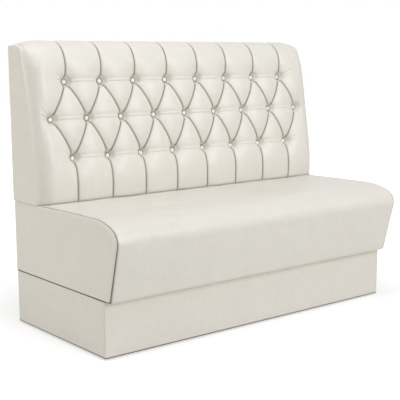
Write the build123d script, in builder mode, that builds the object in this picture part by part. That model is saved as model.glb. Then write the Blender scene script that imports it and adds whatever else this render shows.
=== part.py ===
from build123d import *
from math import asin, atan2, cos, hypot, pi, sin, sqrt, tan
import os

# Restaurant booth bench, two to three seats, in buttoned leatherette.
# Three upholstered boxes stand on each other: a plinth, a deep seat and a tall back.
# The origin is on the floor under the middle of the bench. +X runs along the bench,
# to a sitter's left hand, +Y points to the rear and +Z up. All sizes are millimetres.

# Overall sizes
overall_depth = 680.0
back_length = 1400.0
box_step = 3.0
foot_gap = 5.0
plinth_height = 200.0
seat_height = 272.0
back_height = 563.0
back_crown = 23.0

# Boards and skins
board = 18.0
thin_board = 12.0
side_board = 15.0
hardboard = 4.0
skin = 5.0
leather = 2.0
leather_fit = 0.3
edge_round = 4.0

# Plinth
plinth_setback = 80.0
block_size = 60.0
block_height = 50.0

# Levelling feet
foot_radius = 16.0
foot_seat_gap = 0.3
foot_rim_round = 1.2
stem_radius = 4.0
stem_fit = 0.05
stem_length = 42.0
insert_radius = 7.0
insert_height = 22.0
insert_fit = 0.05
stem_bore_gap = 0.6

# Seat
nose_radius = 50.0
nose_undercut = 48.0
seat_shoulder_radius = 240.0
seat_shoulder_fall = 18.0
seat_crown = 4.0
seat_foam_depth = 60.0
seat_front_foam = 25.0
back_foot_depth = 190.0
rear_shelf_depth = 18.0
seat_crown_run = 45.0
seat_crown_clearance = 15.0

# Back, with its buttons. Forward distances are level, from the face of the leaning board.
board_front_at_base = 147.0
board_front_at_top = 66.0
base_foam = 10.0
side_foot_forward = 34.0
side_top_forward = 24.0
side_edge_bow = 13.0
side_top_round = 20.0
button_end_margin = 61.0
button_columns = 8
top_row_drop = 126.0
upper_row_step = 134.0
lower_row_step = 144.0
forward_low = 42.0
forward_mid = 43.0
forward_top = 35.0
pleat_rise = 22.0
pit_half_height = 8.0
puff_forward = 74.0
puff_foot_forward = 50.0
pleat_foot_forward = 38.0
shoulder_from_rear = 78.0
seam_shoulder_forward = 8.0
shoulder_drop = 10.0
rear_edge_drop = 11.0
rear_roll = 4.0
top_arc_rise = 10.0
rear_arc_rise = 1.2
seam_arc_rise = 1.0
top_foam_depth = 54.0

# Buttons, twines and toggles
button_radius = 9.0
button_height = 6.5
button_rim = 1.5
button_fit = 0.3
twine_radius = 1.0
twine_fit = 0.3
toggle_radius = 8.0
toggle_height = 3.0
board_hole_radius = 3.0

# Bolts
bolt_radius = 4.0
bolt_fit = 0.5
bolt_head_radius = 9.0
bolt_head_height = 3.5
nut_across_flats = 13.0
nut_height = 6.5
nut_fit = 0.05
bolt_tail = 3.0
bolt_from_end = 350.0
back_bolt_from_rear = (40.0, 112.0)
seat_bolt_from_rear = 110.0
seat_bolt_from_front = 110.0

# Shares that shape the buttoned cover. A half pitch runs from a column with a top and
# a low button, where the phase is 0, to a column with a middle button, where it is 1.
phase_shares = (0.0, 0.15, 0.5, 0.85, 1.0)
low_bulge_shares = (0.12, 0.13, 0.11, 0.105, 0.10)
mid_bulge_shares = (0.138, 0.125, 0.085, 0.095, 0.15)
top_bulge_shares = (0.17, 0.19, 0.19, 0.18, 0.165)
foot_forward_shares = (0.0, 0.7, 1.0, 1.0, 1.0)

# Shares past the last column, up to the seam with the side strip
edge_shares = (0.35, 0.6, 0.85, 1.0)
edge_fill_shares = (0.70, 0.58, 0.30, 0.0)
edge_crown_shares = (0.75, 0.55, 0.25, 0.0)
edge_bulge_shares = (0.075, 0.06, 0.035, 0.02)

# Shares of the seat's crown and of the run from its seam to its full height
seat_run_shares = (0.0, 0.2, 0.5, 1.0)
seat_crown_shares = (0.0, 0.45, 0.8, 1.0)

# Share of a half pitch at which the inner ribs stand, clear of every column of buttons
rib_column_share = 2.5

# Places worked out from the sizes
rear = overall_depth / 2
nose = -overall_depth / 2
plinth_front = nose + plinth_setback
plinth_base = foot_gap
seat_base = plinth_base + plinth_height
back_base = seat_base + seat_height
frame_rear = rear - skin
seat_length = back_length - 2 * box_step
plinth_length = seat_length - 2 * box_step
back_inner = back_length / 2 - skin - side_board
last_column = back_inner - button_end_margin
half_pitch = last_column / button_columns
button_pitch = 2 * half_pitch
rib_x = rib_column_share * half_pitch
row_top = back_height - top_row_drop
row_mid = row_top - upper_row_step
row_low = row_mid - lower_row_step
bolt_from_middle = back_length / 2 - bolt_from_end
seat_board_end = seat_length / 2 - skin
seat_inner = seat_board_end - side_board
plinth_inner = plinth_length / 2 - skin - board
lean = (board_front_at_base - board_front_at_top) / back_height
lean_angle = atan2(lean, 1)
board_level = thin_board / cos(lean_angle)

os.makedirs("parts", exist_ok=True)


def save(piece, label):
    """Names a finished piece and writes it."""
    piece.part.label = label
    export_step(piece.part, f"parts/{label}.step")


def between(low, high, share):
    return low + (high - low) * share


def front_line(height):
    """Y of the leaning board's front face, at a height above the back's base."""
    return rear - board_front_at_base + lean * height


def back_point(forward, height):
    """A point of the back's section, level with a height and that far before the board."""
    return (front_line(height) - forward, back_base + height)


# Plinth frame

with BuildPart() as plinth_front_board:
    with Locations((0, plinth_front + skin, plinth_base)):
        Box(
            plinth_length - 2 * skin, board, plinth_height - thin_board,
            align=(Align.CENTER, Align.MIN, Align.MIN),
        )
save(plinth_front_board, "plinth_front_board")

with BuildPart() as plinth_rear_board:
    with Locations((0, frame_rear, plinth_base)):
        Box(
            plinth_length - 2 * skin, board, plinth_height - thin_board,
            align=(Align.CENTER, Align.MAX, Align.MIN),
        )
save(plinth_rear_board, "plinth_rear_board")

plinth_rib_front = plinth_front + skin + board
plinth_rib_depth = frame_rear - board - plinth_rib_front
plinth_board_places = {
    "plinth_left_board": -plinth_inner - board / 2,
    "plinth_left_rib": -rib_x,
    "plinth_right_rib": rib_x,
    "plinth_right_board": plinth_inner + board / 2,
}
for label, x in plinth_board_places.items():
    with BuildPart() as plinth_cross_board:
        with Locations((x, plinth_rib_front, plinth_base)):
            Box(
                board, plinth_rib_depth, plinth_height - thin_board,
                align=(Align.CENTER, Align.MIN, Align.MIN),
            )
    save(plinth_cross_board, label)

seat_bolt_places = [
    (side * bolt_from_middle, y)
    for side in (-1, 1)
    for y in (rear - seat_bolt_from_rear, plinth_front + seat_bolt_from_front)
]
back_bolt_places = [
    (side * bolt_from_middle, rear - from_rear)
    for side in (-1, 1)
    for from_rear in back_bolt_from_rear
]

with BuildPart() as plinth_top_board:
    with BuildSketch(Plane.XY.offset(seat_base - thin_board)):
        with Locations((0, (plinth_front + rear) / 2)):
            Rectangle(plinth_length - 2 * skin, rear - plinth_front - 2 * skin)
        with Locations(*seat_bolt_places):
            Circle(bolt_radius + bolt_fit, mode=Mode.SUBTRACT)
    extrude(amount=thin_board)
save(plinth_top_board, "plinth_top_board")

# Levelling feet, each screwed into a block in a corner of the plinth

block_x = plinth_inner - block_size / 2
foot_places = {
    "front_left": (-block_x, plinth_rib_front + block_size / 2),
    "front_right": (block_x, plinth_rib_front + block_size / 2),
    "rear_left": (-block_x, frame_rear - board - block_size / 2),
    "rear_right": (block_x, frame_rear - board - block_size / 2),
}

with BuildPart() as plinth_corner_blocks:
    with BuildSketch(Plane.XY.offset(plinth_base)):
        with Locations(*foot_places.values()):
            Rectangle(block_size, block_size)
            Circle(insert_radius + insert_fit, mode=Mode.SUBTRACT)
    extrude(amount=insert_height)
    with BuildSketch(Plane.XY.offset(plinth_base + insert_height)):
        with Locations(*foot_places.values()):
            Rectangle(block_size, block_size)
            Circle(stem_radius + stem_bore_gap, mode=Mode.SUBTRACT)
    extrude(amount=block_height - insert_height)
save(plinth_corner_blocks, "plinth_corner_blocks")

with BuildPart() as foot_inserts:
    with BuildSketch(Plane.XY.offset(plinth_base)):
        with Locations(*foot_places.values()):
            Circle(insert_radius)
            Circle(stem_radius + stem_fit, mode=Mode.SUBTRACT)
    extrude(amount=insert_height)
save(foot_inserts, "foot_inserts")

foot_height = foot_gap - foot_seat_gap
for corner, place in foot_places.items():
    with BuildPart() as foot_pad:
        with BuildSketch():
            with Locations(place):
                Circle(foot_radius)
        extrude(amount=foot_height)
        fillet(foot_pad.edges().group_by(Axis.Z)[-1], foot_rim_round)
    save(foot_pad, f"foot_pad_{corner}")
    with BuildPart() as foot_stem:
        with BuildSketch(Plane.XY.offset(foot_height)):
            with Locations(place):
                Circle(stem_radius)
        extrude(amount=stem_length)
    save(foot_stem, f"foot_stem_{corner}")

# Plinth covers: thin foam under leatherette, one flat panel on each face

with BuildPart() as plinth_cover_front:
    with Locations((0, plinth_front, plinth_base)):
        Box(plinth_length, skin, plinth_height, align=(Align.CENTER, Align.MIN, Align.MIN))
    front_face = plinth_cover_front.faces().sort_by(Axis.Y)[0]
    fillet(front_face.edges(), edge_round)
save(plinth_cover_front, "plinth_cover_front")

with BuildPart() as plinth_cover_rear:
    with Locations((0, rear, plinth_base)):
        Box(plinth_length, skin, plinth_height, align=(Align.CENTER, Align.MAX, Align.MIN))
    rear_face = plinth_cover_rear.faces().sort_by(Axis.Y)[-1]
    fillet(rear_face.edges(), edge_round)
save(plinth_cover_rear, "plinth_cover_rear")

for side_name, side in (("left", -1), ("right", 1)):
    with BuildPart() as plinth_cover_side:
        with Locations((side * (plinth_length - skin) / 2, plinth_front + skin, plinth_base)):
            Box(
                skin, rear - plinth_front - 2 * skin, plinth_height,
                align=(Align.CENTER, Align.MIN, Align.MIN),
            )
        outer_face = plinth_cover_side.faces().sort_by(Axis.X)[-1 if side > 0 else 0]
        level_edges = outer_face.edges().filter_by(Axis.Y)
        fillet(level_edges, edge_round)
    save(plinth_cover_side, f"plinth_cover_{side_name}")

# Seat section: a straight undercut front, a round nose, a flatter shoulder and a level
# top, each tangent to the next

nose_centre = (nose + seat_crown + nose_radius, seat_height - seat_shoulder_fall - nose_radius)
radius_step = seat_shoulder_radius - nose_radius
shoulder_rise = radius_step - seat_shoulder_fall
shoulder_run = sqrt(radius_step ** 2 - shoulder_rise ** 2)
shoulder_centre = (nose_centre[0] + shoulder_run, seat_height - seat_shoulder_radius)
shoulder_turn = atan2(shoulder_rise, -shoulder_run)
foot_from_centre = nose_undercut - nose_radius
undercut_angle = atan2(foot_from_centre, nose_centre[1]) + asin(
    nose_radius / hypot(foot_from_centre, nose_centre[1])
)


def seat_front_y(inset, height):
    """Y of the undercut front, drawn in by an inset, at a height above the seat's base."""
    foot = nose + seat_crown + nose_undercut
    return foot + inset / cos(undercut_angle) - height * tan(undercut_angle)


def draw_seat_nose(inset, forward):
    """Draws the undercut front, the nose and the shoulder, moved forward by the crown."""

    def arc_point(centre, radius, turn):
        y = centre[0] - forward + (radius - inset) * cos(turn)
        return (y, seat_base + centre[1] + (radius - inset) * sin(turn))

    first_turn = pi + undercut_angle
    last_turn = pi / 2
    middle_turns = ((first_turn + shoulder_turn) / 2, (shoulder_turn + last_turn) / 2)
    foot = (seat_front_y(inset, 0) - forward, seat_base)
    start = arc_point(nose_centre, nose_radius, first_turn)
    nose_middle = arc_point(nose_centre, nose_radius, middle_turns[0])
    join = arc_point(nose_centre, nose_radius, shoulder_turn)
    shoulder_middle = arc_point(shoulder_centre, seat_shoulder_radius, middle_turns[1])
    end = arc_point(shoulder_centre, seat_shoulder_radius, last_turn)
    Line(foot, start)
    ThreePointArc(start, nose_middle, join)
    ThreePointArc(join, shoulder_middle, end)
    return foot, end


def draw_seat_side(inset):
    """Draws the whole side outline of the seat, drawn in at the front, top and rear."""
    foot, top_front = draw_seat_nose(inset, 0)
    top_rear = (rear - inset, seat_base + seat_height - inset)
    Polyline(top_front, top_rear, (rear - inset, seat_base), foot)


for side_name, side in (("left", -1), ("right", 1)):
    with BuildPart() as seat_side:
        with BuildSketch(Plane.YZ.offset(side * seat_inner)):
            with BuildLine():
                draw_seat_side(skin)
            make_face()
        extrude(amount=side * side_board)
    save(seat_side, f"seat_side_{side_name}")
    with BuildPart() as seat_cover_side:
        with BuildSketch(Plane.YZ.offset(side * seat_board_end)):
            with BuildLine():
                draw_seat_side(0)
            make_face()
        extrude(amount=side * skin)
        outer_face = seat_cover_side.faces().sort_by(Axis.X)[-1 if side > 0 else 0]
        fillet(outer_face.edges(), edge_round)
    save(seat_cover_side, f"seat_cover_{side_name}")

# Seat frame

deck_top = seat_height - seat_foam_depth
deck_base = deck_top - thin_board
front_board_inset = seat_front_foam + leather
deck_front = seat_front_y(front_board_inset, deck_base)
riser_front = rear - back_foot_depth
crown_end = rear - board_front_at_base - puff_foot_forward - seat_crown_clearance
shelf_top = seat_height - leather
shelf_base = shelf_top - rear_shelf_depth


def seat_points(*points):
    """Points of the seat's section, with heights counted from the seat's base."""
    return [(y, seat_base + height) for y, height in points]


with BuildPart() as seat_base_board:
    with BuildSketch(Plane.YZ):
        with BuildLine():
            Polyline(
                *seat_points(
                    (seat_front_y(front_board_inset, 0), 0),
                    (frame_rear, 0),
                    (frame_rear, thin_board),
                    (seat_front_y(front_board_inset, thin_board), thin_board),
                ),
                close=True,
            )
        make_face()
    extrude(amount=seat_inner, both=True)
    with BuildSketch(Plane.XY.offset(seat_base)):
        with Locations(*seat_bolt_places):
            Circle(bolt_radius + bolt_fit)
    extrude(amount=thin_board, mode=Mode.SUBTRACT)
save(seat_base_board, "seat_base_board")

front_board_back = front_board_inset + thin_board
with BuildPart() as seat_front_board:
    with BuildSketch(Plane.YZ):
        with BuildLine():
            Polyline(
                *seat_points(
                    (seat_front_y(front_board_inset, thin_board), thin_board),
                    (seat_front_y(front_board_back, thin_board), thin_board),
                    (seat_front_y(front_board_back, deck_base), deck_base),
                    (seat_front_y(front_board_inset, deck_base), deck_base),
                ),
                close=True,
            )
        make_face()
    extrude(amount=seat_inner, both=True)
save(seat_front_board, "seat_front_board")

with BuildPart() as seat_rear_board:
    with Locations((0, frame_rear, seat_base + thin_board)):
        Box(
            2 * seat_inner, board, shelf_base - thin_board,
            align=(Align.CENTER, Align.MAX, Align.MIN),
        )
save(seat_rear_board, "seat_rear_board")

for label, x in (("seat_left_rib", -rib_x), ("seat_right_rib", rib_x)):
    with BuildPart() as seat_rib:
        with BuildSketch(Plane.YZ.offset(x)):
            with BuildLine():
                Polyline(
                    *seat_points(
                        (seat_front_y(front_board_back, thin_board), thin_board),
                        (frame_rear - board, thin_board),
                        (frame_rear - board, deck_base),
                        (seat_front_y(front_board_back, deck_base), deck_base),
                    ),
                    close=True,
                )
            make_face()
        extrude(amount=board / 2, both=True)
    save(seat_rib, label)

with BuildPart() as seat_deck:
    with Locations((0, deck_front, seat_base + deck_base)):
        Box(
            2 * seat_inner, frame_rear - board - deck_front, thin_board,
            align=(Align.CENTER, Align.MIN, Align.MIN),
        )
save(seat_deck, "seat_deck")

with BuildPart() as seat_riser:
    with Locations((0, riser_front, seat_base + deck_top)):
        Box(
            2 * seat_inner, board, shelf_base - deck_top,
            align=(Align.CENTER, Align.MIN, Align.MIN),
        )
save(seat_riser, "seat_riser")

with BuildPart() as seat_rear_shelf:
    with BuildSketch(Plane.XY.offset(seat_base + shelf_base)):
        with Locations((0, (riser_front + frame_rear) / 2)):
            Rectangle(2 * seat_inner, frame_rear - riser_front)
        with Locations(*back_bolt_places):
            Circle(bolt_radius + bolt_fit, mode=Mode.SUBTRACT)
    extrude(amount=rear_shelf_depth)
save(seat_rear_shelf, "seat_rear_shelf")

# Seat foam and cover, crowned between the side boards. Past the foam the cover is padded
# to the skin's thickness and runs over each side board to the seam with its side panel.

seat_stations = [
    (side * (seat_inner - seat_crown_run * run), crown)
    for side in (-1, 1)
    for run, crown in zip(seat_run_shares, seat_crown_shares)
]
seat_stations.sort()


def draw_seat_top(inset, crown, rear_end):
    """Draws the seat's outer line, from the front's foot to the flat part at the rear."""
    foot, top_front = draw_seat_nose(inset, seat_crown * crown)
    top = top_front[1]
    crown_rise = between(seam_arc_rise / 2, seat_crown, crown)
    crown_middle = ((top_front[0] + crown_end) / 2, top + crown_rise)
    ThreePointArc(top_front, crown_middle, (crown_end, top))
    Line((crown_end, top), (rear_end, top))
    return foot


with BuildPart() as seat_foam:
    for x, crown in seat_stations:
        with BuildSketch(Plane.YZ.offset(x)):
            with BuildLine():
                inset = leather + leather_fit
                foot = draw_seat_top(inset, crown, riser_front)
                Polyline(
                    (riser_front, seat_base + seat_height - inset),
                    *seat_points(
                        (riser_front, deck_top),
                        (deck_front, deck_top),
                        (deck_front, deck_base),
                        (seat_front_y(front_board_inset, 0), 0),
                    ),
                    foot,
                )
            make_face()
    loft(ruled=True)
save(seat_foam, "seat_foam")

with BuildPart() as seat_cover:
    for x, crown in seat_stations:
        with BuildSketch(Plane.YZ.offset(x)):
            with BuildLine():
                outer_foot = draw_seat_top(0, crown, frame_rear)
                inner_foot = draw_seat_top(leather, crown, frame_rear)
                Line(outer_foot, inner_foot)
                Line(
                    (frame_rear, seat_base + seat_height),
                    (frame_rear, seat_base + seat_height - leather),
                )
            make_face()
    loft(ruled=True)
    for side in (-1, 1):
        with BuildSketch(Plane.YZ.offset(side * seat_inner)):
            with BuildLine():
                outer_foot = draw_seat_top(0, 0, frame_rear)
                inner_foot = draw_seat_top(skin, 0, frame_rear)
                Line(outer_foot, inner_foot)
                Line(
                    (frame_rear, seat_base + seat_height),
                    (frame_rear, seat_base + seat_height - skin),
                )
            make_face()
        extrude(amount=side * side_board)
    with BuildSketch(Plane.XY.offset(seat_base + shelf_top)):
        with Locations(*back_bolt_places):
            Circle(bolt_radius + bolt_fit)
    extrude(amount=leather, mode=Mode.SUBTRACT)
save(seat_cover, "seat_cover")

with BuildPart() as seat_cover_rear:
    with Locations((0, rear, seat_base)):
        Box(2 * seat_board_end, skin, seat_height, align=(Align.CENTER, Align.MAX, Align.MIN))
save(seat_cover_rear, "seat_cover_rear")

# Back frame


def draw_back_side(inset):
    """Draws the back's side outline: a bowed leaning front and a flat top."""
    top = back_height - inset
    middle_forward = (side_foot_forward + side_top_forward) / 2 + side_edge_bow
    bottom_front = back_point(side_foot_forward - inset, 0)
    top_front = back_point(side_top_forward - inset, top)
    ThreePointArc(bottom_front, back_point(middle_forward - inset, top / 2), top_front)
    Polyline(
        top_front,
        (rear - inset, back_base + top),
        (rear - inset, back_base),
        bottom_front,
    )


def round_back_corner(inset):
    """Rounds the top front corner of the face that is being drawn."""
    upper_corners = vertices().group_by(Axis.Y)[-1]
    fillet(upper_corners.sort_by(Axis.X)[0], side_top_round - inset)


for side_name, side in (("left", -1), ("right", 1)):
    with BuildPart() as back_side:
        with BuildSketch(Plane.YZ.offset(side * back_inner)):
            with BuildLine():
                draw_back_side(skin)
            make_face()
            round_back_corner(skin)
        extrude(amount=side * side_board)
    save(back_side, f"back_side_{side_name}")
    with BuildPart() as back_cover_side:
        with BuildSketch(Plane.YZ.offset(side * back_inner)):
            with BuildLine():
                draw_back_side(0)
            make_face()
            round_back_corner(0)
        extrude(amount=side * (side_board + skin))
        outer_face = back_cover_side.faces().sort_by(Axis.X)[-1 if side > 0 else 0]
        fillet(outer_face.edges(), edge_round)
        with BuildSketch(Plane.YZ.offset(side * back_inner)):
            with BuildLine():
                draw_back_side(skin)
            make_face()
            round_back_corner(skin)
        extrude(amount=side * side_board, mode=Mode.SUBTRACT)
    save(back_cover_side, f"back_cover_{side_name}")

crown_top = back_height + back_crown
rail_top = crown_top - leather - top_foam_depth
rail_base = rail_top - board
panel_front = frame_rear - hardboard


def leaning_slab(front_forward, low, high, back_y=None):
    """Corners of a board's section, from a leaning front to a leaning or an upright back."""
    low_back = back_point(front_forward - board_level, low)[0] if back_y is None else back_y
    high_back = back_point(front_forward - board_level, high)[0] if back_y is None else back_y
    return (
        back_point(front_forward, low),
        (low_back, back_base + low),
        (high_back, back_base + high),
        back_point(front_forward, high),
    )


row_seats = {
    "lower": (row_low, forward_low, button_columns),
    "middle": (row_mid, forward_mid, button_columns + 1),
    "upper": (row_top, forward_top, button_columns),
}


def button_planes(row):
    """One plane for each button of a row, on its seat and square to the leaning board."""
    height, forward, count = row_seats[row]
    y, z = back_point(forward, height)
    facing = (0, -cos(lean_angle), sin(lean_angle))
    first = -(count - 1) / 2
    return [
        Plane(origin=((first + index) * button_pitch, y, z), x_dir=(1, 0, 0), z_dir=facing)
        for index in range(count)
    ]


all_planes = [plane for row in row_seats for plane in button_planes(row)]
twine_reach = max(forward_low, forward_mid, forward_top) + 2 * thin_board

with BuildPart() as back_front_board:
    with BuildSketch(Plane.YZ):
        with BuildLine():
            Polyline(*leaning_slab(0, 0, rail_top), close=True)
        make_face()
    extrude(amount=back_inner, both=True)
    with Locations(*all_planes):
        Cylinder(
            board_hole_radius, twine_reach, mode=Mode.SUBTRACT,
            align=(Align.CENTER, Align.CENTER, Align.MAX),
        )
save(back_front_board, "back_front_board")

with BuildPart() as back_bottom_board:
    with BuildSketch(Plane.YZ):
        with BuildLine():
            Polyline(*leaning_slab(-board_level, 0, board, panel_front), close=True)
        make_face()
    extrude(amount=back_inner, both=True)
    with BuildSketch(Plane.XY.offset(back_base)):
        with Locations(*back_bolt_places):
            Circle(bolt_radius + bolt_fit)
    extrude(amount=board, mode=Mode.SUBTRACT)
save(back_bottom_board, "back_bottom_board")

with BuildPart() as back_top_rail:
    with BuildSketch(Plane.YZ):
        with BuildLine():
            Polyline(*leaning_slab(-board_level, rail_base, rail_top, panel_front), close=True)
        make_face()
    extrude(amount=back_inner, both=True)
save(back_top_rail, "back_top_rail")

for label, x in (("back_left_rib", -rib_x), ("back_right_rib", rib_x)):
    with BuildPart() as back_rib:
        with BuildSketch(Plane.YZ.offset(x)):
            with BuildLine():
                Polyline(*leaning_slab(-board_level, board, rail_base, panel_front), close=True)
            make_face()
        extrude(amount=board / 2, both=True)
    save(back_rib, label)

panel_top = back_height - skin
with BuildPart() as back_rear_panel:
    with Locations((0, frame_rear, back_base)):
        Box(
            2 * back_inner, hardboard, rail_top,
            align=(Align.CENTER, Align.MAX, Align.MIN),
        )
save(back_rear_panel, "back_rear_panel")

with BuildPart() as back_cover_rear:
    with Locations((0, rear, back_base)):
        Box(2 * back_inner, skin, panel_top, align=(Align.CENTER, Align.MAX, Align.MIN))
save(back_cover_rear, "back_cover_rear")

# Base foam and buttoned cover. The cover is quilted to its wadding, and each of its
# sections is a chain of arcs between the pleats.


def side_forward(height):
    """How far the bowed edge of the side stands before the board's face."""
    share = height / back_height
    straight = between(side_foot_forward, side_top_forward, share)
    return straight + 4 * side_edge_bow * share * (1 - share)


def main_section(index):
    """Pleat points and bulges of the section at one of the phase shares."""
    phase = phase_shares[index]
    rise = 4 * pleat_rise * phase * (1 - phase)
    low_height = between(row_low, row_mid - pit_half_height, phase)
    top_height = between(row_top, row_mid + pit_half_height, phase)
    foot = between(pleat_foot_forward, puff_foot_forward, foot_forward_shares[index])
    return {
        "foot": back_point(foot, 0),
        "low": back_point(between(forward_low, forward_mid, phase) + rise, low_height),
        "top": back_point(between(forward_top, forward_mid, phase) + rise, top_height),
        "bulges": (low_bulge_shares[index], mid_bulge_shares[index], top_bulge_shares[index]),
        "crown": 1.0,
    }


def edge_section(index):
    """Pleat points and bulges of a section past the last column of buttons."""
    fill = edge_fill_shares[index]
    bulge = edge_bulge_shares[index]
    low_height = row_mid - pit_half_height
    top_height = row_mid + pit_half_height
    seam_forward = side_forward(row_mid)
    forward = between(seam_forward, puff_forward, fill)
    foot = between(side_foot_forward, puff_foot_forward, fill)
    return {
        "foot": back_point(foot, 0),
        "low": back_point(forward, low_height),
        "top": back_point(forward, top_height),
        "bulges": (bulge, bulge, bulge),
        "crown": edge_crown_shares[index],
    }


tuft_stations = []
for column in range(-button_columns, button_columns):
    opens_at_pair = column % 2 != 0
    for step in range(len(phase_shares) - 1):
        index = step if opens_at_pair else len(phase_shares) - 1 - step
        share = phase_shares[step]
        tuft_stations.append(((column + share) * half_pitch, main_section(index)))
tuft_stations.append((last_column, main_section(len(phase_shares) - 1)))
for index, share in enumerate(edge_shares):
    for side in (-1, 1):
        x = side * between(last_column, back_inner, share)
        tuft_stations.append((x, edge_section(index)))
tuft_stations.sort(key=lambda station: station[0])


def draw_tufts(section):
    """Draws the outer line of the buttoned form, from its foot over the top to the rear."""
    crown = back_crown * section["crown"]
    foot, low, top = section["foot"], section["low"], section["top"]
    drop = between(shoulder_drop / 2, shoulder_drop, section["crown"])
    shoulder_forward = between(seam_shoulder_forward, 0, section["crown"])
    shoulder = (
        rear - shoulder_from_rear - shoulder_forward,
        back_base + back_height + crown - drop,
    )
    rear_height = back_height + crown - rear_edge_drop * section["crown"]
    rear_top = (rear - rear_roll, back_base + rear_height)
    rear_end = (rear, back_base + panel_top)
    low_bulge, mid_bulge, top_bulge = section["bulges"]
    spans = (
        (foot, low, low_bulge),
        (low, top, mid_bulge),
        (top, shoulder, top_bulge),
    )
    for start, end, bulge in spans:
        chord = hypot(end[0] - start[0], end[1] - start[1])
        SagittaArc(start, end, bulge * chord)
    SagittaArc(
        shoulder, rear_top, between(seam_arc_rise, top_arc_rise, section["crown"])
    )
    SagittaArc(rear_top, rear_end, rear_arc_rise)
    return foot, rear_end


foam_top = rail_top + base_foam
with BuildPart() as back_foam:
    with BuildSketch(Plane.YZ):
        with BuildLine():
            Polyline(
                back_point(0, 0),
                back_point(base_foam, 0),
                back_point(base_foam, foam_top),
                (frame_rear, back_base + foam_top),
                (frame_rear, back_base + rail_top),
                back_point(0, rail_top),
                close=True,
            )
        make_face()
    extrude(amount=back_inner, both=True)
    with Locations(*all_planes):
        Cylinder(
            twine_radius + twine_fit, twine_reach, mode=Mode.SUBTRACT,
            align=(Align.CENTER, Align.CENTER, Align.MAX),
        )
save(back_foam, "back_foam")

with BuildPart() as back_cover:
    for x, section in tuft_stations:
        with BuildSketch(Plane.YZ.offset(x)):
            with BuildLine():
                foot, rear_end = draw_tufts(section)
                Polyline(
                    rear_end,
                    (frame_rear, rear_end[1]),
                    (frame_rear, back_base + foam_top),
                    back_point(base_foam, foam_top),
                    back_point(base_foam, 0),
                    foot,
                )
            make_face()
    loft(ruled=True)
    with Locations(*all_planes):
        Cylinder(
            button_radius + button_fit, 2 * puff_forward, mode=Mode.SUBTRACT,
            align=(Align.CENTER, Align.CENTER, Align.MIN),
        )
        Cylinder(
            twine_radius + twine_fit, twine_reach, mode=Mode.SUBTRACT,
            align=(Align.CENTER, Align.CENTER, Align.MAX),
        )
save(back_cover, "back_cover")

# Buttons: a domed head on a flat back, with a twine through the foam to a toggle

with BuildPart() as one_button:
    with BuildSketch(Plane.XZ):
        with BuildLine():
            Polyline((0, button_height), (0, 0), (button_radius, 0), (button_radius, button_rim))
            TangentArc((0, button_height), (button_radius, button_rim), tangent=(1, 0))
        make_face()
    revolve(axis=Axis.Z)

for row in row_seats:
    with BuildPart() as buttons:
        with Locations(*button_planes(row)):
            add(one_button.part)
    save(buttons, f"buttons_{row}_row")

with BuildPart() as twines:
    for row, (height, forward, count) in row_seats.items():
        with Locations(*button_planes(row)):
            Cylinder(
                twine_radius, forward * cos(lean_angle) + thin_board,
                align=(Align.CENTER, Align.CENTER, Align.MAX),
            )
save(twines, "button_twines")

with BuildPart() as toggles:
    for row, (height, forward, count) in row_seats.items():
        toggle_planes = [
            plane.offset(-forward * cos(lean_angle) - thin_board)
            for plane in button_planes(row)
        ]
        with Locations(*toggle_planes):
            Cylinder(
                toggle_radius, toggle_height,
                align=(Align.CENTER, Align.CENTER, Align.MAX),
            )
save(toggles, "twine_toggles")

# Bolts that hold the back to the seat and the seat to the plinth

bolt_joints = {
    "back_bolts": (back_bolt_places, back_base + board, board + leather + rear_shelf_depth),
    "seat_bolts": (seat_bolt_places, seat_base + thin_board, 2 * thin_board),
}
nut_tops = []
for label, (places, head_seat, grip) in bolt_joints.items():
    with BuildPart() as bolts:
        with BuildSketch(Plane.XY.offset(head_seat)):
            with Locations(*places):
                Circle(bolt_head_radius)
        extrude(amount=bolt_head_height)
        with BuildSketch(Plane.XY.offset(head_seat)):
            with Locations(*places):
                Circle(bolt_radius)
        extrude(amount=-(grip + nut_height + bolt_tail))
    save(bolts, label)
    nut_tops.append((places, head_seat - grip))

with BuildPart() as nuts:
    for places, top in nut_tops:
        with BuildSketch(Plane.XY.offset(top)):
            with Locations(*places):
                RegularPolygon(nut_across_flats / 2, side_count=6, major_radius=False)
                Circle(bolt_radius + nut_fit, mode=Mode.SUBTRACT)
        extrude(amount=-nut_height)
save(nuts, "bolt_nuts")
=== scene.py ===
import math

import bmesh
import bpy
import numpy as np
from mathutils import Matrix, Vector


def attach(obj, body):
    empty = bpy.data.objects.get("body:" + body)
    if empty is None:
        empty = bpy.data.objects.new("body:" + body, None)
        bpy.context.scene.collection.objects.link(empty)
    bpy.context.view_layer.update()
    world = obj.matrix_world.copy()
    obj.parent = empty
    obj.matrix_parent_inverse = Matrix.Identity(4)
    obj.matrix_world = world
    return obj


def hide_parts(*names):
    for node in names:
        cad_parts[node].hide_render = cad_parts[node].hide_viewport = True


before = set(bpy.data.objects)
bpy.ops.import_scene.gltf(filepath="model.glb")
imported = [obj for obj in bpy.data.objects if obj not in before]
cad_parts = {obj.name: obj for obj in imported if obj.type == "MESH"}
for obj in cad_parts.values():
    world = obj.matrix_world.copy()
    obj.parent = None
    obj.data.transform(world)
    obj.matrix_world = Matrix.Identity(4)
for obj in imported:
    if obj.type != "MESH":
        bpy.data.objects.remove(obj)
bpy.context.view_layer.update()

# Restaurant booth bench in buttoned leatherette. Lengths here are in millimetres, in the
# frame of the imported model, and are turned to metres when a piece is made.
MM = 0.001

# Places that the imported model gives
REAR = 340.0
PLINTH_BASE = 5.0
SEAT_BASE = 205.0
BACK_BASE = 477.0
PLINTH_FRONT = -260.0
PLINTH_HALF = 694.0
SEAT_HALF = 697.0
BACK_HALF = 700.0
BACK_SEAM = 680.0
SEAT_SEAM = 692.0
SKIN = 5.0
SEAT_FOOT = -288.0
UNDERCUT = 0.23781
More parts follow.
